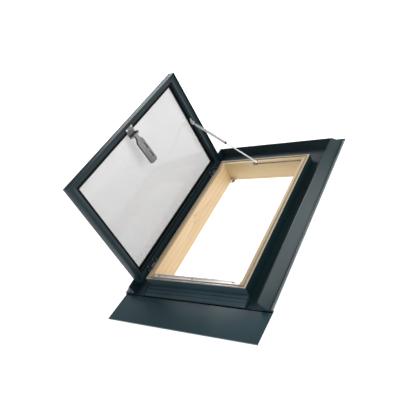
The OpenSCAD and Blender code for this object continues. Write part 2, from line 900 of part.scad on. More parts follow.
module stay_shoe() {
    low = rim - track_drop - track_h;
    slot_low = (track_h - track_slot) / 2;
    from = shoe_start - shoe_back - shoe_l;
    to = shoe_start - shoe_back;
    rise = rim + stay_rise - low;
    face = in_l - pin_side_gap;
    play = track_wall + shoe_play;
    color("dimgray") {
        block([from, in_l + play, low + play], [to, in_l + track_d - play, low + track_h - play]);
        block([from, face - eps, low + slot_low + shoe_play],
              [to, in_l + play + eps, low + track_h - slot_low - shoe_play]);
        translate([shoe_start, face, low]) rotate([90, 0, 0]) linear_extrude(shoe_plate_t) {
            polygon([
                [-shoe_back - shoe_l, -1], [-shoe_back, -1], [-shoe_back, rim - low + 1.5],
                [boss_r, rim - low + 3], [boss_r, rise], [-boss_r, rise], [-shoe_back - 8, track_h],
                [-shoe_back - shoe_l, track_h]
            ]);
            translate([0, rise]) circle(r = boss_r);
        }
        translate([shoe_start, 0, rim + stay_rise])
            y_rod(boss_r, stay_y + max(eye_t / 2, rod_r) + pin_side_gap, face - shoe_plate_t + eps);
    }
}

// ---- handle ----

module handle_screw_pair(length) {
    for (y = [-grip_screw_at, grip_screw_at])
        translate([box_x + 9, y, under_z - grip_t]) rotate([180, 0, 0]) screw(length);
}

module handle_bracket() {
    ear_top = under_z + grip_t;
    hook_x = box_x - 2.2;
    color(steel) opened() difference() {
        union() {
            block([box_x + 4, -grip_half, under_z - grip_t], [box_x + 13.5, grip_half, under_z]);
            block([hook_x, -grip_half, under_z - grip_hook_t], [box_x + 5, grip_half, under_z]);
            block([hook_x, -grip_half, under_z - grip_hook_t], [box_x, grip_half, lip_z - lip_gap]);
            block([lever_x - lever_ear_r, -lever_ear_y - lever_ear_t, under_z],
                  [box_x, lever_ear_y + lever_ear_t, ear_top]);
            mirrored_y() {
                block([lever_x - lever_ear_r, lever_ear_y, lever_z],
                      [lever_x + lever_ear_r, lever_ear_y + lever_ear_t, ear_top]);
                translate([lever_x, 0, lever_z]) y_rod(lever_ear_r, lever_ear_y, lever_ear_y + lever_ear_t);
            }
        }
        translate([lever_x, 0, lever_z]) y_rod(lever_pin_r, -grip_half, grip_half);
        handle_screw_pair(20);
    }
}

module handle_screws() {
    color("gray") opened() handle_screw_pair(7);
}

module handle_pin() {
    reach = lever_ear_y + lever_ear_t;
    color("gray") opened() translate([lever_x, 0, lever_z]) {
        y_rod(lever_pin_r, -reach, reach);
        y_rod(lever_pin_r + 1.2, reach, reach + 1.5);
        y_rod(lever_pin_r + 1.2, -reach - 1.5, -reach);
    }
}

module slot_shape() {
    square([slot_l - slot_w, slot_w], center = true);
    for (e = [-1, 1])
        translate([e * (slot_l - slot_w) / 2, 0]) circle(r = slot_w / 2);
}

module lever_outline() {
    polygon([
        [0, -lever_neck], [lever_neck_l, -lever_neck], [lever_shoulder, -lever_w / 2],
        [lever_l - lever_round_r, -lever_w / 2], [lever_l, -lever_w / 2 + lever_round_r],
        [lever_l, lever_w / 2 - lever_round_r], [lever_l - lever_round_r, lever_w / 2],
        [lever_shoulder, lever_w / 2], [lever_neck_l, lever_neck], [0, lever_neck]
    ]);
    mirrored_y() translate([lever_l - lever_round_r, lever_w / 2 - lever_round_r]) circle(r = lever_round_r);
}

// Friction holds the lever a little off the plumb line while the sash stands open
module handle_lever() {
    color("darkgray") opened() translate([lever_x, 0, lever_z])
    rotate([0, lever_tilt - lever_swing, 0]) difference() {
        union() {
            y_rod(lever_barrel_r, -lever_barrel_half, lever_barrel_half);
            mirror([1, 0, 0]) translate([0, 0, -lever_t / 2]) linear_extrude(lever_t) lever_outline();
        }
        y_rod(lever_pin_r + pin_clear, -grip_half, grip_half);
        mirror([1, 0, 0]) for (i = [0, 1])
            translate([slot_at + i * slot_pitch, slot_off, -lever_t])
                linear_extrude(2 * lever_t) slot_shape();
    }
}

head_board();
foot_board();
hinge_stile();
lock_stile();
corner_screws();
rim_seal();
sill_strip();
sill_edge();
sill_screws();
flashing_head();
flashing_left();
flashing_right();
flashing_front();
apron();
corner_gussets();
flashing_screws();
fixing_angles();
angle_screws();
corner_tab();
stay_track();
track_screws();
keeper_plate();
keeper_peg();
keeper_screws();
hinge_leaf_frame_top();
hinge_leaf_frame_foot();
hinge_pin_top();
hinge_pin_foot();
hinge_leaf_screws();
sash_rail_hinge();
sash_rail_lock();
sash_rail_head();
sash_rail_foot();
corner_cleats();
glass_pane();
glazing_gasket();
glazing_tape();
sash_seal();
hinge_leaf_sash_top();
hinge_leaf_sash_foot();
sash_leaf_screws();
stay_bracket();
stay_pin();
bracket_screws();
handle_bracket();
handle_screws();
handle_pin();
handle_lever();
stay_cylinder();
stay_guide();
stay_rod();
stay_shoe();
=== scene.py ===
"""Looks of a side-hung roof skylight: timber frame, slate painted flashing, glazed sash, stay and lever."""
import json
import logging
import math
from dataclasses import dataclass
from enum import Enum
from typing import Callable, Optional, Union

import bpy
from mathutils import Matrix, Vector


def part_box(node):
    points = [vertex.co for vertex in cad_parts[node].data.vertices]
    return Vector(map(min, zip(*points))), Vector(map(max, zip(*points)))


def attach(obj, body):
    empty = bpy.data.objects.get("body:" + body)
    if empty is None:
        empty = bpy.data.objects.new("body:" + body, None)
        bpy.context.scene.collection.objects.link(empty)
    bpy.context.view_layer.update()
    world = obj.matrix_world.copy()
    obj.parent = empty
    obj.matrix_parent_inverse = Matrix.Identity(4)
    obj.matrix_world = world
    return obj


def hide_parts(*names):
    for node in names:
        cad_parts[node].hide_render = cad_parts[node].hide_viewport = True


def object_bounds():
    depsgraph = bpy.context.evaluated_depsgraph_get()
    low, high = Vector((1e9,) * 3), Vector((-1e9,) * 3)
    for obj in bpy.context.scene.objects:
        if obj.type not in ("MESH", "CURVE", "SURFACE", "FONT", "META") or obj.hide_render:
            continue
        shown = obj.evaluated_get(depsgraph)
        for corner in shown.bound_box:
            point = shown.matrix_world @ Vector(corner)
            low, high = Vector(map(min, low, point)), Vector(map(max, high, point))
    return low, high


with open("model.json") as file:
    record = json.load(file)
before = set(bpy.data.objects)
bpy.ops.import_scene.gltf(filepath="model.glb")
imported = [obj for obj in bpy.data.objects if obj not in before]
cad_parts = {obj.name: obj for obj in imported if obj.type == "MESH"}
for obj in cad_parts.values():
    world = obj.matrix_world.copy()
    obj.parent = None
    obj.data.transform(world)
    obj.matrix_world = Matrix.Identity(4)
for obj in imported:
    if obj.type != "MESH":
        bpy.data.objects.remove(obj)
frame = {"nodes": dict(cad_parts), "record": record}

LOG = logging.getLogger("skylight")
MM = 0.001
WELD = 0.01 * MM
FLAT_DEGREES = 0.5
ARM_WIDTH = 0.24
ARM_DEPTH = 0.6
CRIMP = 0.86
Colour = tuple[float, float, float]
Number = Union[float, "Sock"]


def as_lists(box: tuple[Vector, Vector]) -> list[list[float]]:
    """Returns the two corners of a box as plain lists of numbers."""
    return [[float(v) for v in corner] for corner in box]


CAD_BOX = as_lists(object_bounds())


class Sock:
    """One output socket of a shader tree; arithmetic on it adds Math nodes."""

    def __init__(self, tree: "Tree", socket: bpy.types.NodeSocket) -> None:
        """Keeps the tree and the socket."""
        self.tree = tree
        self.socket = socket

    def _maths(self, operation: str, *values: Number) -> "Sock":
        """Adds one Math node.

        Args:
            operation: the node's operation.
            values: its inputs, in order.

        Returns:
            The node's output.
        """
        inputs = {i: v for i, v in enumerate(values)}
        return self.tree.add("ShaderNodeMath", {"operation": operation}, inputs)

    def __add__(self, other: Number) -> "Sock":
        """Returns self + other."""
        return self._maths("ADD", self, other)

    def __radd__(self, other: Number) -> "Sock":
        """Returns other + self."""
        return self._maths("ADD", other, self)

    def __sub__(self, other: Number) -> "Sock":
        """Returns self - other."""
        return self._maths("SUBTRACT", self, other)

    def __rsub__(self, other: Number) -> "Sock":
        """Returns other - self."""
        return self._maths("SUBTRACT", other, self)

    def __mul__(self, other: Number) -> "Sock":
        """Returns self * other."""
        return self._maths("MULTIPLY", self, other)

    def __rmul__(self, other: Number) -> "Sock":
        """Returns other * self."""
        return self._maths("MULTIPLY", other, self)

    def __truediv__(self, other: Number) -> "Sock":
        """Returns self / other."""
        return self._maths("DIVIDE", self, other)

    def __pow__(self, other: Number) -> "Sock":
        """Returns self to the power of other."""
        return self._maths("POWER", self, other)

    def clamped(self) -> "Sock":
        """Returns self held between 0 and 1."""
        return self.tree.add("ShaderNodeClamp", {}, {"Value": self})

    def ramp(self, low: float, high: float) -> "Sock":
        """Returns 0 below low, 1 above high, and a smooth step between."""
        return self.tree.add("ShaderNodeMapRange", {"interpolation_type": "SMOOTHSTEP"},
                             {"Value": self, "From Min": low, "From Max": high})


class Tree:
    """A new material's node tree, with its Principled shader ready."""

    def __init__(self, name: str) -> None:
        """Makes the material.

        Args:
            name: the material's name.
        """
        self.material = bpy.data.materials.new(name)
        self.material.use_nodes = True
        self.nodes = self.material.node_tree.nodes
        self.links = self.material.node_tree.links
        self.shader = self.nodes["Principled BSDF"]

    def plug(self, target: bpy.types.NodeSocket, value: object) -> None:
        """Links a Sock to a socket, or sets the socket's own value."""
        if isinstance(value, Sock):
            self.links.new(value.socket, target)
        elif isinstance(value, tuple) and len(value) == 3 and len(target.default_value) == 4:
            target.default_value = (*value, 1.0)
        else:
            target.default_value = value

    def add(self, kind: str, settings: dict, inputs: dict, output: Union[int, str] = 0) -> Sock:
        """Adds a node of any type.

        Args:
            kind: the node's type.
            settings: its own settings, set before its sockets.
            inputs: values or links of its sockets, by name or number.
            output: which of its outputs to return.

        Returns:
            The chosen output.
        """
        node = self.nodes.new(kind)
        for key, value in settings.items():
            setattr(node, key, value)
        for key, value in inputs.items():
            self.plug(node.inputs[key], value)
        return Sock(self, node.outputs[output])

    def place(self, scale: Colour = (1.0, 1.0, 1.0), turn: Colour = (0.0, 0.0, 0.0)) -> Sock:
        """Returns the object's own coordinates, in metres, scaled and turned."""
        raw = self.add("ShaderNodeTexCoord", {}, {}, "Object")
        return self.add("ShaderNodeMapping", {}, {"Vector": raw, "Scale": scale, "Rotation": turn})

    def noise(self, scale: float, detail: float = 3.0, where: Optional[Sock] = None,
              roughness: float = 0.5) -> Sock:
        """Returns a noise value.

        Args:
            scale: cycles per metre.
            detail: octaves.
            where: coordinates; the object's own if left out.
            roughness: strength of the finer octaves.

        Returns:
            The noise, about 0.5 on average.
        """
        where = where or self.place()
        return self.add("ShaderNodeTexNoise", {}, {"Vector": where, "Scale": scale, "Detail": detail,
                                                   "Roughness": roughness})

    def mix(self, amount: Number, one: Union[Colour, Sock], two: Union[Colour, Sock]) -> Sock:
        """Returns a colour between one and two."""
        node = self.nodes.new("ShaderNodeMix")
        node.data_type = "RGBA"
        for index, value in ((0, amount), (6, one), (7, two)):
            self.plug(node.inputs[index], value)
        return Sock(self, node.outputs[2])

    def bump(self, height: Sock, distance: float, strength: float = 1.0) -> None:
        """Feeds a height, in units of distance metres, to the shader's normal."""
        normal = self.add("ShaderNodeBump", {}, {"Height": height, "Distance": distance,
                                                 "Strength": strength})
        self.plug(self.shader.inputs["Normal"], normal)

    def set(self, **sockets: object) -> None:
        """Sets or links the shader's sockets; an underscore stands for a space."""
        for name, value in sockets.items():
            self.plug(self.shader.inputs[name.replace("_", " ")], value)


class Along(Enum):
    """The direction in which a board's or strip's grain runs."""

    X = 0
    Y = 1
    Z = 2

    def stretched(self, across: float, along: float) -> Colour:
        """Returns a scale that is along on this axis and across on the others."""
        return tuple(along if i == self.value else across for i in range(3))


@dataclass(frozen=True)
class Paint:
    """Satin powder paint on sheet metal, with a faint orange peel and cloudy gloss."""

    name: str
    colour: Colour
    roughness: float = 0.34
    clouds: float = 0.16
    gloss: float = 0.5
    peel: float = 0.00006
    # Distance from the middle beyond which the outer lip gets a painted highlight, and that highlight's
    # colour.
    highlight_lip_at: float = 0.0
    lip_highlight_colour: Colour = (0.70, 0.76, 0.78)

    def build(self) -> bpy.types.Material:
        """Returns the material, with a pale painted highlight on the outer lip beyond the lip distance on
        both sides, if that is set.
        """
        tree = Tree(self.name)
        cloud = tree.noise(5.0, 3.0)
        speck = tree.noise(900.0, 2.0)
        deep = tuple(c * (1 - self.clouds) for c in self.colour)
        pale = tuple(c * (1 + self.clouds) for c in self.colour)
        colour = tree.mix(cloud.ramp(0.3, 0.7), deep, pale)
        dust_and_lip_highlight = tree.mix(speck.ramp(0.62, 0.78) * 0.25, colour, tuple(c * 1.7 for c in self.colour))
        smear = tree.noise(16.0, 4.0, tree.place((1.0, 0.35, 1.0)))
        # Painted highlight: past the lip distance the sheet turns near white, standing in for light caught
        # by the outer lip.
        if self.highlight_lip_at:
            across = tree.add("ShaderNodeSeparateXYZ", {}, {"Vector": tree.place()}, "X")
            lip_highlight_mask = (across * across).ramp(self.highlight_lip_at ** 2, (self.highlight_lip_at + 0.0003) ** 2)
            dust_and_lip_highlight = tree.mix(lip_highlight_mask, dust_and_lip_highlight, self.lip_highlight_colour)
        tree.set(Base_Color=dust_and_lip_highlight, Roughness=self.roughness + (smear - 0.5) * 0.16)
        tree.set(Specular_IOR_Level=self.gloss)
        tree.bump(tree.noise(420.0, 2.0), self.peel)
        return tree.material


@dataclass(frozen=True)
class Pine:
    """Clear varnished pine, sawn so that its rings run as long flames along the board."""

    name: str
    grain: Along
    pale: Colour = (0.735, 0.55, 0.322)
    deep: Colour = (0.54, 0.355, 0.175)
    seed: float = 0.0

    def build(self) -> bpy.types.Material:
        """Returns the material."""
        tree = Tree(self.name)
        turn = (0.05, 0.03, 0.04)
        at = tree.place(self.grain.stretched(1.0, 0.085), turn)
        at = tree.add("ShaderNodeVectorMath", {"operation": "ADD"}, {0: at, 1: (self.seed, 0.31, 0.17)})
        bend = tree.noise(3.2, 2.0, at)
        bent = tree.add("ShaderNodeVectorMath", {"operation": "MULTIPLY_ADD"},
                        {0: bend, 1: (0.05, 0.05, 0.05), 2: at})
        direction = {Along.X: "X", Along.Y: "Y", Along.Z: "Z"}[self.grain]
        rings = tree.add("ShaderNodeTexWave", {"wave_type": "RINGS", "rings_direction": direction,
                                               "wave_profile": "SAW"},
                         {"Vector": bent, "Scale": 17.0, "Distortion": 3.2, "Detail": 3.0,
                          "Detail Scale": 1.1, "Detail Roughness": 0.6}, "Fac")
        fibres = tree.noise(620.0, 3.0, tree.place(self.grain.stretched(1.0, 0.03), turn))
        drift = tree.noise(9.0, 2.0, at)
        late = rings.ramp(0.2, 1.0) * 0.24 * (0.3 + drift * 1.4)
        shade = (late + (drift - 0.4) * 0.35 + (fibres - 0.5) * 0.22).clamped()
        colour = tree.mix(shade, self.pale, self.deep)
        tree.set(Base_Color=colour, Roughness=0.5 - rings * 0.08 + (fibres - 0.5) * 0.2)
        tree.set(Coat_Weight=0.25, Coat_Roughness=0.32)
        tree.bump(fibres * 0.7 + rings * 0.3, 0.00008)
        return tree.material


@dataclass(frozen=True)
class Metal:
    """Bare or plated metal with streaks along its rolling direction."""

    name: str
    colour: Colour
    grain: Along = Along.X
    roughness: float = 0.32
    metallic: float = 1.0
    streak: float = 0.14

    def build(self) -> bpy.types.Material:
        """Returns the material."""
        tree = Tree(self.name)
        streaks = tree.noise(1400.0, 3.0, tree.place(self.grain.stretched(1.0, 0.02)))
        cloud = tree.noise(60.0, 3.0)
        deep = tuple(c * (1 - self.streak) for c in self.colour)
        pale = tuple(min(1.0, c * (1 + self.streak)) for c in self.colour)
        colour = tree.mix((streaks * 0.6 + cloud * 0.4).ramp(0.3, 0.7), deep, pale)
        tree.set(Base_Color=colour, Metallic=self.metallic)
        tree.set(Roughness=self.roughness + (cloud - 0.5) * 0.2 + (streaks - 0.5) * 0.1)
        tree.bump(streaks, 0.00003)
        return tree.material


@dataclass(frozen=True)
class Rubber:
    """Matt extruded rubber or open foam."""

    name: str
    colour: Colour
    roughness: float = 0.62
    pores: float = 0.00005
    pore_scale: float = 1500.0
    gloss: float = 0.5

    def build(self) -> bpy.types.Material:
        """Returns the material."""
        tree = Tree(self.name)
        pores = tree.noise(self.pore_scale, 3.0, roughness=0.6)
        bloom = tree.noise(24.0, 3.0)
        pale = tuple(c * 1.5 + 0.004 for c in self.colour)
        tree.set(Base_Color=tree.mix(bloom.ramp(0.35, 0.75) * 0.6 + pores * 0.2, self.colour, pale))
        tree.set(Roughness=self.roughness + (bloom - 0.5) * 0.2, Specular_IOR_Level=self.gloss)
        tree.bump(pores, self.pores)
        return tree.material


@dataclass(frozen=True)
class Glass:
    """Laminated glass: clear, faintly grey, with faint broad paler patches that are painted reflections."""

    name: str
    colour: Colour = (0.36, 0.36, 0.365)
    alpha: float = 0.50

    def build(self) -> bpy.types.Material:
        """Returns the material."""
        tree = Tree(self.name)
        # Painted reflection: broad faint paler patches in colour, gloss and see-through stand in for soft
        # reflections on the pane.
        reflection_patches = tree.noise(1.6, 1.0)
        pale = tuple(min(1.0, c * 1.03) for c in self.colour)
        tree.set(Base_Color=tree.mix(reflection_patches.ramp(0.35, 0.65), self.colour, pale))
        tree.set(Roughness=0.11 + reflection_patches * 0.03, Alpha=self.alpha + (reflection_patches - 0.5) * 0.03)
        tree.set(Specular_IOR_Level=0.55)
        return tree.material


FINISHES = {
    # The slate sheets share one real paint. Their different colours are painted shade and light: darkest
    # for the shaded gutter sheets and screws, lighter for the front and apron, which catch more light.
    "flashing": Paint("slate_paint_darkest_shaded_copy", (0.009, 0.031, 0.039), 0.34, gloss=0.5),
    # The side sheets also carry the painted highlight on their outer lips.
    "side_sheet": Paint("slate_side_paint_shaded_copy", (0.009, 0.031, 0.039), 0.34, gloss=0.5, highlight_lip_at=338.6 * MM),
    "head_sheet_shaded": Paint("slate_head_paint_shaded_copy", (0.026, 0.046, 0.056), 0.36, gloss=0.55),
    "front": Paint("slate_front_paint_lit_copy", (0.040, 0.085, 0.112), 0.36, gloss=0.7),
    "apron": Paint("slate_apron_paint_lit_copy", (0.022, 0.060, 0.075), 0.32, clouds=0.10, gloss=0.6),
    # Painted highlight: the pressed corners get a paler, glossier slate than the sheets to stand in for the
    # light they catch.
    "gusset": Paint("gusset_painted_highlight_paint", (0.16, 0.23, 0.27), 0.30, gloss=0.7),
    "sash": Paint("slate_sash_paint", (0.011, 0.029, 0.037), 0.38, gloss=0.22),
    # The across boards are darker pine. This is partly the boards' own tone and partly painted shade for
    # the head wall, which faces away from the light.
    "pine_x_shaded": Pine("pine_across_painted_shade", Along.X, (0.64, 0.50, 0.29), (0.47, 0.33, 0.16), seed=0.4),
    "pine_left": Pine("pine_hinge_side", Along.Y),
    "pine_right": Pine("pine_lock_side", Along.Y, seed=1.3),
    "strip": Metal("mill_aluminium", (0.62, 0.60, 0.58), Along.X, 0.38),
    "plate": Metal("zinc_plate", (0.66, 0.66, 0.64), Along.Y, 0.36),
    "screw": Metal("bright_zinc", (0.55, 0.54, 0.50), Along.Z, 0.30),
    "anodised": Metal("anodised_track", (0.50, 0.40, 0.27), Along.X, 0.42, metallic=0.6),
    "rod": Metal("polished_rod", (0.72, 0.71, 0.68), Along.X, 0.16, streak=0.05),
    "tube": Metal("satin_tube", (0.60, 0.60, 0.59), Along.X, 0.30, streak=0.06),
    "lever": Metal("cast_lever", (0.120, 0.125, 0.122), Along.Z, 0.30, streak=0.10),
    "bronze": Metal("dark_passivated_steel", (0.17, 0.165, 0.16), Along.Y, 0.42),
    "foam": Rubber("grey_foam", (0.30, 0.27, 0.22), 0.85, 0.0003, 700.0),
    # Pale strip on the flanges: a guessed foam, partly painted light standing in for the lit flanges.
    "pale_foam_and_flange_light": Rubber("pale_foam_and_flange_light", (0.17, 0.215, 0.22), 0.7, 0.0002, 800.0),
    "rubber": Rubber("black_rubber", (0.0015, 0.0015, 0.002), 0.7, gloss=0.1),
    "glass": Glass("laminated_glass"),
}


class Paintbox:
    """Builds each finish once and hands it out."""

    def __init__(self) -> None:
        """Starts empty."""
        self.made: dict[str, bpy.types.Material] = {}

    def get(self, key: str) -> bpy.types.Material:
        """Returns the material of one of FINISHES, built on first use."""
        if key not in self.made:
            self.made[key] = FINISHES[key].build()
        return self.made[key]


PAINTS = Paintbox()


def pick_none() -> None:
    """Deselects everything."""
    for other in bpy.context.selected_objects:
        other.select_set(False)


def pick_only(item: bpy.types.Object) -> None:
    """Selects one object alone and makes it active."""
    pick_none()
    item.select_set(True)
    bpy.context.view_layer.objects.active = item


def edit(item: bpy.types.Object, action: Callable[[], None]) -> None:
    """Runs operators on a whole mesh in edit mode.

    Args:
        item: the mesh object.
        action: what to do with everything selected.
    """
    pick_only(item)
    bpy.ops.object.mode_set(mode="EDIT")
    bpy.ops.mesh.select_all(action="SELECT")
    action()
    bpy.ops.object.mode_set(mode="OBJECT")


def apply_modifier(item: bpy.types.Object, kind: str, **settings: object) -> None:
    """Adds a modifier, sets it and applies it."""
    modifier = item.modifiers.new(kind.lower(), kind)
    for key, value in settings.items():
        setattr(modifier, key, value)
    pick_only(item)
    bpy.ops.object.modifier_apply(modifier=modifier.name)


def smooth(item: bpy.types.Object, degrees: float = 32.0) -> None:
    """Shades an object smooth where its faces meet at less than an angle."""
    pick_only(item)
    bpy.ops.object.shade_smooth_by_angle(angle=math.radians(degrees))


def dress(item: bpy.types.Object, finish: str) -> None:
    """Gives an object one finish all over."""
    item.data.materials.clear()
    item.data.materials.append(PAINTS.get(finish))


def body_of(node: str) -> str:
    """Returns the body that a CAD node rides on."""
    bodies = frame["record"]["behaviour"]["bodies"]
    return next(body for body, members in bodies.items() if node in members)


def copy_of(node: str, name: str) -> bpy.types.Object:
    """Copies a CAD node's mesh and joins its loose triangles into clean faces.

    Args:
        node: the CAD node.
        name: the new object's name.

    Returns:
        The copy, at the origin.
    """
    source = frame["nodes"][node]
    mesh = source.data.copy()
    item = bpy.data.objects.new(name, mesh)
    bpy.context.scene.collection.objects.link(item)

    def clean() -> None:
        """Merges the loose corners and dissolves the flat seams."""
        bpy.ops.mesh.customdata_custom_splitnormals_clear()
        bpy.ops.mesh.remove_doubles(threshold=WELD)
        bpy.ops.mesh.dissolve_limited(angle_limit=math.radians(FLAT_DEGREES))

    edit(item, clean)
    return item


def islands(node: str) -> list[tuple[Vector, Vector]]:
    """Returns the box of each separate solid in a CAD node, in metres."""
    item = copy_of(node, "scratch_islands")
    edit(item, lambda: bpy.ops.mesh.separate(type="LOOSE"))
    parts = [o for o in bpy.context.selected_objects if o.type == "MESH"]
    boxes = []
    for part in parts:
        points = [v.co for v in part.data.vertices]
        low = Vector([min(p[i] for p in points) for i in range(3)])
        high = Vector([max(p[i] for p in points) for i in range(3)])
        boxes.append((low, high))
    for part in parts:
        bpy.data.objects.remove(part)
    return sorted(boxes, key=lambda b: tuple(round(v, 5) for v in b[0]))


def finish_piece(item: bpy.types.Object, body: str, finish: str) -> bpy.types.Object:
    """Dresses a new piece and hangs it on its body.

    Args:
        item: the piece, at the origin.
        body: the body that it moves with.
        finish: the key of its finish.

    Returns:
        The piece.
    """
    dress(item, finish)
    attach(item, body)
    LOG.info("%s rides on %s", item.name, body)
    return item


def rounded(node: str, radius: float, finish: str, segments: int = 2,
            angle: float = 25.0) -> bpy.types.Object:
    """Replaces a CAD node by a copy with softly rounded edges.

    Args:
        node: the CAD node.
        radius: width of the rounding in metres.
        finish: the key of its finish.
        segments: faces across each rounding.
        angle: edges flatter than this many degrees stay.

    Returns:
        The copy.
    """
    item = copy_of(node, f"{node}_finished")
    apply_modifier(item, "BEVEL", width=radius, segments=segments, limit_method="ANGLE",
                   angle_limit=math.radians(angle), use_clamp_overlap=True, harden_normals=False)
    smooth(item)
    finish_piece(item, body_of(node), finish)
    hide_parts(node)
    return item


def strip_piece(name: str, low: Vector, high: Vector, radius: float) -> bpy.types.Object:
    """Models a straight strip: a cube set to size whose long edges are rounded.

    Args:
        name: the piece's name.
        low: its lowest corner, in metres.
        high: its highest corner.
        radius: width of the rounding.

    Returns:
        The strip, at the origin.
    """
    pick_none()
    bpy.ops.mesh.primitive_cube_add(size=1.0, location=(low + high) / 2)
    item = bpy.context.active_object
    item.name = name
    item.scale = high - low
    bpy.ops.object.transform_apply(location=True, rotation=True, scale=True)
    edit(item, lambda: bpy.ops.mesh.bevel(offset=radius, segments=3, affect="EDGES"))
    smooth(item)
    return item


def collar_piece(name: str, centre: Vector, axis: Vector, radius: float,
                 length: float) -> bpy.types.Object:
    """Models a crimped collar: a cylinder with a groove pressed round its middle.

    Args:
        name: the piece's name.
        centre: the middle of the collar.
        axis: the direction of its bore.
        radius: its outer radius.
        length: its length.

    Returns:
        The collar, at the origin.
    """
    pick_none()
    turn = axis.to_track_quat("Z", "Y").to_euler()
    bpy.ops.mesh.primitive_cylinder_add(vertices=40, radius=radius, depth=length, location=centre,
                                        rotation=turn)
    item = bpy.context.active_object
    item.name = name
    bpy.ops.object.transform_apply(location=True, rotation=True, scale=True)

    def cut_rings() -> None:
        """Cuts rings of edges round the collar's middle."""
        for share in (-0.25, 0.0, 0.25):
            bpy.ops.mesh.select_all(action="SELECT")
            bpy.ops.mesh.bisect(plane_co=centre + axis * (share * length), plane_no=axis)

    edit(item, cut_rings)
    for vertex in item.data.vertices:
        along = (vertex.co - centre).dot(axis)
        vertex.select = abs(along) < 0.1 * length
    pick_only(item)
    bpy.ops.object.mode_set(mode="EDIT")
    bpy.ops.transform.resize(value=(CRIMP, CRIMP, CRIMP), center_override=centre)
    bpy.ops.object.mode_set(mode="OBJECT")
    apply_modifier(item, "BEVEL", width=0.06 * radius, segments=2, limit_method="ANGLE")
    smooth(item)
    return item


def cross_recess(item: bpy.types.Object, head: Vector, axis: Vector, size: float) -> None:
    """Cuts a cross recess into a screw's head.

    Args:
        item: the piece that holds the screw.
        head: the middle of the head's face.
        axis: the direction that the face looks in.
        size: length of the cross's arms.
    """
    turn = axis.to_track_quat("Z", "Y").to_euler()
    wide, deep = size * ARM_WIDTH, size * ARM_DEPTH
    for arm in ((size, wide, deep), (wide, size, deep)):
        pick_none()
        bpy.ops.mesh.primitive_cube_add(size=1.0, location=head, rotation=turn, scale=arm)
        cutter = bpy.context.active_object
        apply_modifier(item, "BOOLEAN", operation="DIFFERENCE", solver="EXACT", object=cutter)
        bpy.data.objects.remove(cutter)


@dataclass(frozen=True)
class Lamp:
    """One soft square light: where it hangs, what it faces, its width and its watts."""

    name: str
    place: Colour
    target: Colour
    size: float
    power: float


LAMPS = (
    Lamp("key", (1.5, 0.0, 2.7), (0.0, 0.0, 0.1), 1.8, 7.0),
    Lamp("side", (2.5, 1.3, 0.85), (0.1, 0.0, 0.1), 2.8, 54.0),
    Lamp("fill", (0.6, -2.6, 1.7), (0.0, 0.0, 0.2), 2.0, 14.0),
    Lamp("rim", (-1.5, 1.7, 1.9), (0.0, 0.0, 0.2), 1.7, 42.0),
)


@dataclass(frozen=True)
class ScrewSet:
    """The screws of one CAD node, and the way their heads look."""

    node: str
    axis: int
    sign: int
    finish: str = "screw"
    arm: float = 4.2 * MM

    def build(self) -> None:
        """Replaces the node by screws with a cross recess; sign 0 stands for outwards on both sides."""
        boxes = islands(self.node)
        item = copy_of(self.node, f"{self.node}_finished")
        for low, high in boxes:
            head = (low + high) / 2
            side = self.sign or (1 if head[self.axis] > 0 else -1)
            head[self.axis] = high[self.axis] if side > 0 else low[self.axis]
            direction = Vector((0.0, 0.0, 0.0))
            direction[self.axis] = side
            cross_recess(item, head, direction, self.arm)
        smooth(item)
        finish_piece(item, body_of(self.node), self.finish)
        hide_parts(self.node)


@dataclass
class TimberFrame:
    """The four boards of the frame, their seal, strip and small fittings."""

    arris: float = 0.9 * MM
    strip_arris: float = 0.35 * MM

    def build(self) -> None:
        """Builds and dresses the boards and what is fixed to them."""
        boards = {"head_board": "pine_x_shaded", "foot_board": "pine_x_shaded", "hinge_stile": "pine_left",
                  "lock_stile": "pine_right"}
        for node, finish in boards.items():
            rounded(node, self.arris, finish)
        rounded("rim_seal", 0.9 * MM, "foam", 3)
        for node in ("sill_strip", "sill_edge", "corner_tab"):
            rounded(node, self.strip_arris, "strip")
        rounded("stay_track", self.strip_arris, "anodised")
        for node in ("fixing_angles", "keeper_plate"):
            rounded(node, self.strip_arris, "plate")
        rounded("keeper_peg", 0.5 * MM, "screw")


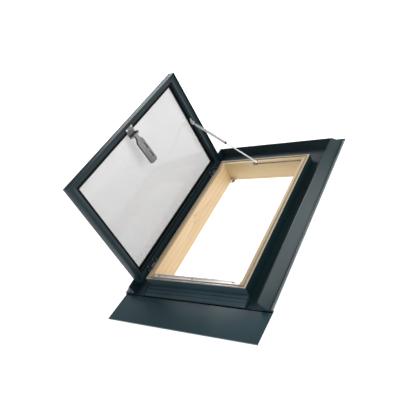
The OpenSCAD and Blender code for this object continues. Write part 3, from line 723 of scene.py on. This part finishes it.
@dataclass
class Flashing:
    """The folded sheets around the frame and the apron in front."""

    fold: float = 0.45 * MM
    shadow_strip_wide: float = 2.6 * MM
    shadow_strip_high: float = 2.4 * MM
    flange_strip_in: float = 1.4 * MM
    flange_strip_wide: float = 9.0 * MM
    flange_strip_up: float = 5.2 * MM
    flange_strip_high: float = 2.2 * MM

    def build(self) -> None:
        """Builds the sheets with eased folds."""
        # Each sheet gets its own shaded or lit copy of the slate paint, as painted shade and light.
        rounded("flashing_left", self.fold, "side_sheet")
        rounded("flashing_right", self.fold, "side_sheet")
        rounded("flashing_head", self.fold, "head_sheet_shaded")
        rounded("flashing_front", self.fold, "front")
        rounded("apron", self.fold, "apron")
        # The corners take the painted-highlight slate.
        rounded("corner_gussets", 1.5 * MM, "gusset", 3)
        self._shadow_gap_strip()
        self._flange_strips()

    def _shadow_gap_strip(self) -> None:
        """Adds a black rubber strip between the sheets and the apron, as painted shade for the shadow gap
        under the sheets' front edge.
        """
        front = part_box("flashing_front")
        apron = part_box("apron")
        top = front[0][2] + self.shadow_strip_high
        low = Vector((front[0][0], front[0][1] - self.shadow_strip_wide, front[0][2]))
        high = Vector((min(front[1][0], apron[1][0]), front[0][1], top))
        # Painted shade: the black strip darkens the gap where the front sheet laps over the apron.
        strip = strip_piece("apron_shadow_gap_strip", low, high, 0.6 * MM)
        finish_piece(strip, "frame", "rubber")

    def _flange_strips(self) -> None:
        """Adds pale strips on the two long outer flanges: a guessed foam that also stands in, as painted
        light, for the light falling on the flanges.
        """
        for node, side in (("flashing_left", -1), ("flashing_right", 1)):
            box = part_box(node)
            outer = max(abs(box[0][0]), abs(box[1][0])) - self.flange_strip_in
            inner = outer - self.flange_strip_wide
            ends = sorted((side * inner, side * outer))
            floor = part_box("flashing_front")[0][2] + self.flange_strip_up
            low = Vector((ends[0], box[0][1] + self.flange_strip_in, floor))
            high = Vector((ends[1], box[1][1] - self.flange_strip_in - self.flange_strip_wide, floor + self.flange_strip_high))
            strip = strip_piece(f"flange_foam_and_light_{'left' if side < 0 else 'right'}", low, high, 0.5 * MM)
            finish_piece(strip, "frame", "pale_foam_and_flange_light")


@dataclass
class Sash:
    """The glazed sash with its rails, gasket and hinge leaves."""

    arris: float = 0.6 * MM

    def build(self) -> None:
        """Builds the rails, the pane and the rubber."""
        for side in ("hinge", "lock", "head", "foot"):
            rounded(f"sash_rail_{side}", self.arris, "sash")
        rounded("glass_pane", 0.4 * MM, "glass")
        rounded("glazing_gasket", 0.8 * MM, "rubber", 3)
        rounded("sash_seal", 0.2 * MM, "rubber")
        dress(frame["nodes"]["glazing_tape"], "rubber")
        dress(frame["nodes"]["corner_cleats"], "plate")
        for end in ("top", "foot"):
            rounded(f"hinge_leaf_sash_{end}", 0.3 * MM, "sash")
            rounded(f"hinge_leaf_frame_{end}", 0.3 * MM, "bronze")
            rounded(f"hinge_pin_{end}", 0.6 * MM, "screw")


@dataclass
class Stay:
    """The gas stay from the sash to its shoe in the head board."""

    collar_back: float = 4.0 * MM
    collar_radius: float = 6.9 * MM
    collar_length: float = 9.0 * MM

    def build(self) -> None:
        """Builds the tube, the rod and the fittings."""
        rounded("stay_cylinder", 1.2 * MM, "tube", 3)
        rounded("stay_rod", 0.5 * MM, "rod")
        rounded("stay_guide", 0.3 * MM, "rubber")
        rounded("stay_shoe", 0.4 * MM, "bronze")
        rounded("stay_bracket", 0.35 * MM, "plate")
        rounded("stay_pin", 0.5 * MM, "screw")
        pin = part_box("stay_pin")
        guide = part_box("stay_guide")
        nose = (guide[0] + guide[1]) / 2
        along = nose - (pin[0] + pin[1]) / 2
        along.y = 0.0
        along.normalize()
        collar = collar_piece("stay_nose_collar", nose - along * self.collar_back, along,
                              self.collar_radius, self.collar_length)
        finish_piece(collar, "cylinder", "rubber")


@dataclass
class Handle:
    """The slotted lever and the bracket it hangs from."""

    edge: float = 1.6 * MM

    def build(self) -> None:
        """Builds the lever, its bracket and pin."""
        rounded("handle_lever", self.edge, "lever", 4, 30.0)
        rounded("handle_bracket", 0.5 * MM, "lever")
        rounded("handle_pin", 0.5 * MM, "screw")


@dataclass
class Studio:
    """A pale floor, soft lights and the camera."""

    eye: Colour = (1.1026, -1.2422, 1.2663)
    right: Colour = (0.81181, 0.42169, -0.40390)
    up: Colour = (0.01212, 0.67939, 0.73367)
    back: Colour = (0.58379, -0.60050, 0.54643)
    lens: float = 42.19
    floor_half: float = 30.0
    floor_gap: float = 0.5 * MM

    def build(self) -> None:
        """Builds the floor, the lights and the camera."""
        self._camera()
        self._floor()
        self._world()
        for lamp in LAMPS:
            self._light(lamp)

    def _camera(self) -> None:
        """Adds the camera that frames the skylight."""
        data = bpy.data.cameras.new("camera")
        data.lens = self.lens
        data.sensor_width = 36.0
        data.clip_end = 100.0
        item = bpy.data.objects.new("camera", data)
        axes = Matrix((self.right, self.up, self.back)).transposed().to_4x4()
        item.matrix_world = Matrix.Translation(Vector(self.eye)) @ axes
        bpy.context.scene.collection.objects.link(item)
        bpy.context.scene.camera = item

    def _floor(self) -> None:
        """Adds the pale floor under the lowest point."""
        pick_none()
        level = CAD_BOX[0][2] - self.floor_gap
        bpy.ops.mesh.primitive_plane_add(size=2 * self.floor_half, location=(0.0, 0.0, level))
        floor = bpy.context.active_object
        floor.name = "studio_floor"
        tree = Tree("studio_floor")
        tree.set(Base_Color=(0.93, 0.93, 0.93), Roughness=0.9, Specular_IOR_Level=0.0)
        tree.set(Emission_Color=(1.0, 1.0, 1.0), Emission_Strength=0.84)
        floor.data.materials.append(tree.material)

    def _world(self) -> None:
        """Fills the room with soft white light."""
        world = bpy.data.worlds.new("studio")
        world.use_nodes = True
        ground = world.node_tree.nodes["Background"]
        ground.inputs["Color"].default_value = (1.0, 1.0, 1.0, 1.0)
        ground.inputs["Strength"].default_value = 0.24
        bpy.context.scene.world = world

    def _light(self, lamp: Lamp) -> None:
        """Adds one soft square light.

        Args:
            lamp: the light to add.
        """
        data = bpy.data.lights.new(lamp.name, "AREA")
        data.size = lamp.size
        data.energy = lamp.power
        item = bpy.data.objects.new(lamp.name, data)
        item.location = lamp.place
        facing = Vector(lamp.place) - Vector(lamp.target)
        item.rotation_euler = facing.to_track_quat("Z", "Y").to_euler()
        bpy.context.scene.collection.objects.link(item)


def build_screws() -> None:
    """Builds every set of screws."""
    sets = (ScrewSet("sill_screws", 2, 1, "bronze"), ScrewSet("keeper_screws", 0, -1),
            ScrewSet("hinge_leaf_screws", 0, -1), ScrewSet("sash_leaf_screws", 0, 1),
            ScrewSet("handle_screws", 0, 1), ScrewSet("bracket_screws", 1, -1),
            ScrewSet("corner_screws", 0, 0), ScrewSet("angle_screws", 0, 0))
    for screws in sets:
        screws.build()
    rounded("flashing_screws", 0.5 * MM, "flashing")
    rounded("track_screws", 0.3 * MM, "screw")


def main() -> None:
    """Builds the studio and every sub-assembly in order."""
    logging.basicConfig(level=logging.INFO, format="%(name)s: %(message)s")
    bpy.context.scene.view_settings.view_transform = "Standard"
    Studio().build()
    for part in (TimberFrame(), Flashing(), Sash(), Stay(), Handle()):
        part.build()
    build_screws()


if __name__ == "__main__":
    main()
